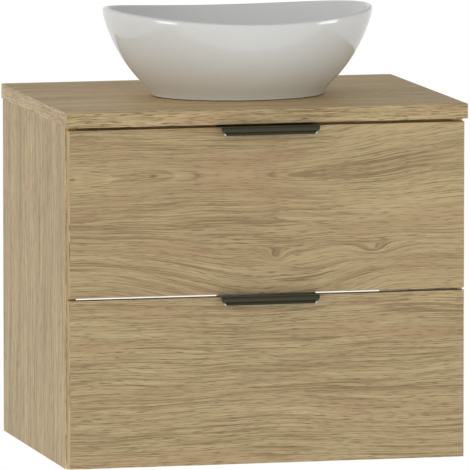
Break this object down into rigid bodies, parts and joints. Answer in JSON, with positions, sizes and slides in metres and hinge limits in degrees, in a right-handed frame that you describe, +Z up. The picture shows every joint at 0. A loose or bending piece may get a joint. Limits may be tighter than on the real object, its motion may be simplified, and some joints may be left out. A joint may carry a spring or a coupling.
{
  "type": "vessel sink on vanity",
  "caption": "Wall-hung bathroom vanity with stacked drawers, dark edge pulls, an oak-look countertop and an oval white vessel basin with its waste and trap.",
  "frame": {"origin": "on the wall plane, at the middle of the width, level with the underside of the cabinet (lower edge of the cabinet's back face)", "axes": "+X across the width to the right of a person facing the drawers, +Y into the wall, +Z up; the drawers open along -Y"},
  "size_m": [0.6, 0.492, 0.654],
  "materials": {
    "oak_laminate": "light oak laminate with an embossed matt grain",
    "oak_edge_band": "oak edge band, matt",
    "white_melamine": "fine-grained melamine, satin",
    "beech_dowel": "fluted beech, matt",
    "zinc_steel": "bright zinc plate",
    "graphite_metal": "graphite anodised, satin",
    "chrome_plate": "polished chrome",
    "brass_nut": "plain turned brass",
    "white_plastic": "moulded, matt",
    "black_rubber": "moulded, matt",
    "sealant": "sealant bead",
    "white_glaze": "gloss white glaze"
  },
  "bodies": {
    "cabinet": {"side_panel_left": "oak_laminate", "side_panel_right": "oak_laminate", "bottom_panel": "oak_laminate", "carcass_edge_bands": "oak_edge_band", "top_front_rail": "oak_laminate", "top_back_rail": "oak_laminate", "lower_back_rail": "oak_laminate", "cams": "zinc_steel", "cam_bolts": "zinc_steel", "dowels": "beech_dowel", "countertop": "oak_laminate", "countertop_edge_bands": "oak_edge_band", "countertop_brackets": "zinc_steel", "countertop_screws": "zinc_steel", "hanger_bodies": "white_plastic", "hanger_hooks": "zinc_steel", "hanger_screws": "zinc_steel", "wall_plates": "zinc_steel", "basin": "white_glaze", "basin_bead": "sealant", "waste_body": "chrome_plate", "waste_upper_gasket": "black_rubber", "waste_lower_gasket": "black_rubber", "waste_nut": "brass_nut", "trap_inlet_nut": "chrome_plate", "trap_body": "chrome_plate", "trap_cup": "chrome_plate", "trap_cup_seal": "black_rubber", "trap_outlet_nut": "chrome_plate", "wall_pipe": "chrome_plate", "wall_rosette": "chrome_plate", "upper_cabinet_members": "zinc_steel", "lower_cabinet_members": "zinc_steel", "runner_screws": "zinc_steel"},
    "upper_middle": {"upper_middle_members": "zinc_steel"},
    "lower_middle": {"lower_middle_members": "zinc_steel"},
    "upper_drawer": {"upper_front": "oak_laminate", "upper_front_bands": "oak_edge_band", "upper_handle": "graphite_metal", "upper_handle_screws": "graphite_metal", "upper_box_sides": "white_melamine", "upper_box_front": "white_melamine", "upper_box_bottom": "white_melamine", "upper_drawer_members": "zinc_steel", "upper_front_screws": "zinc_steel", "upper_box_backs": "white_melamine", "upper_trap_guard": "white_plastic"},
    "lower_drawer": {"lower_front": "oak_laminate", "lower_front_bands": "oak_edge_band", "lower_handle": "graphite_metal", "lower_handle_screws": "graphite_metal", "lower_box_sides": "white_melamine", "lower_box_front": "white_melamine", "lower_box_bottom": "white_melamine", "lower_drawer_members": "zinc_steel", "lower_front_screws": "zinc_steel", "lower_box_back": "white_melamine"},
    "waste_plug": {"plug_cap": "chrome_plate", "plug_stem": "chrome_plate", "plug_seal": "black_rubber"}
  },
  "joints": [
    {"name": "upper_drawer_slide", "type": "slide", "parent": "cabinet", "child": "upper_drawer", "axis": [0, -1, 0], "range_m": [0, 0.36]},
    {"name": "lower_drawer_slide", "type": "slide", "parent": "cabinet", "child": "lower_drawer", "axis": [0, -1, 0], "range_m": [0, 0.36]},
    {"name": "upper_middle_slide", "type": "slide", "parent": "cabinet", "child": "upper_middle", "axis": [0, -1, 0], "range_m": [0, 0.18]},
    {"name": "lower_middle_slide", "type": "slide", "parent": "cabinet", "child": "lower_middle", "axis": [0, -1, 0], "range_m": [0, 0.18]},
    {"name": "plug_slide", "type": "slide", "parent": "cabinet", "child": "waste_plug", "axis": [0, 0, 1], "range_m": [-0.008, 0]}
  ],
  "couplings": [
    {"joint": "upper_middle_slide", "follows": "upper_drawer_slide", "ratio": 0.5},
    {"joint": "lower_middle_slide", "follows": "lower_drawer_slide", "ratio": 0.5}
  ]
}
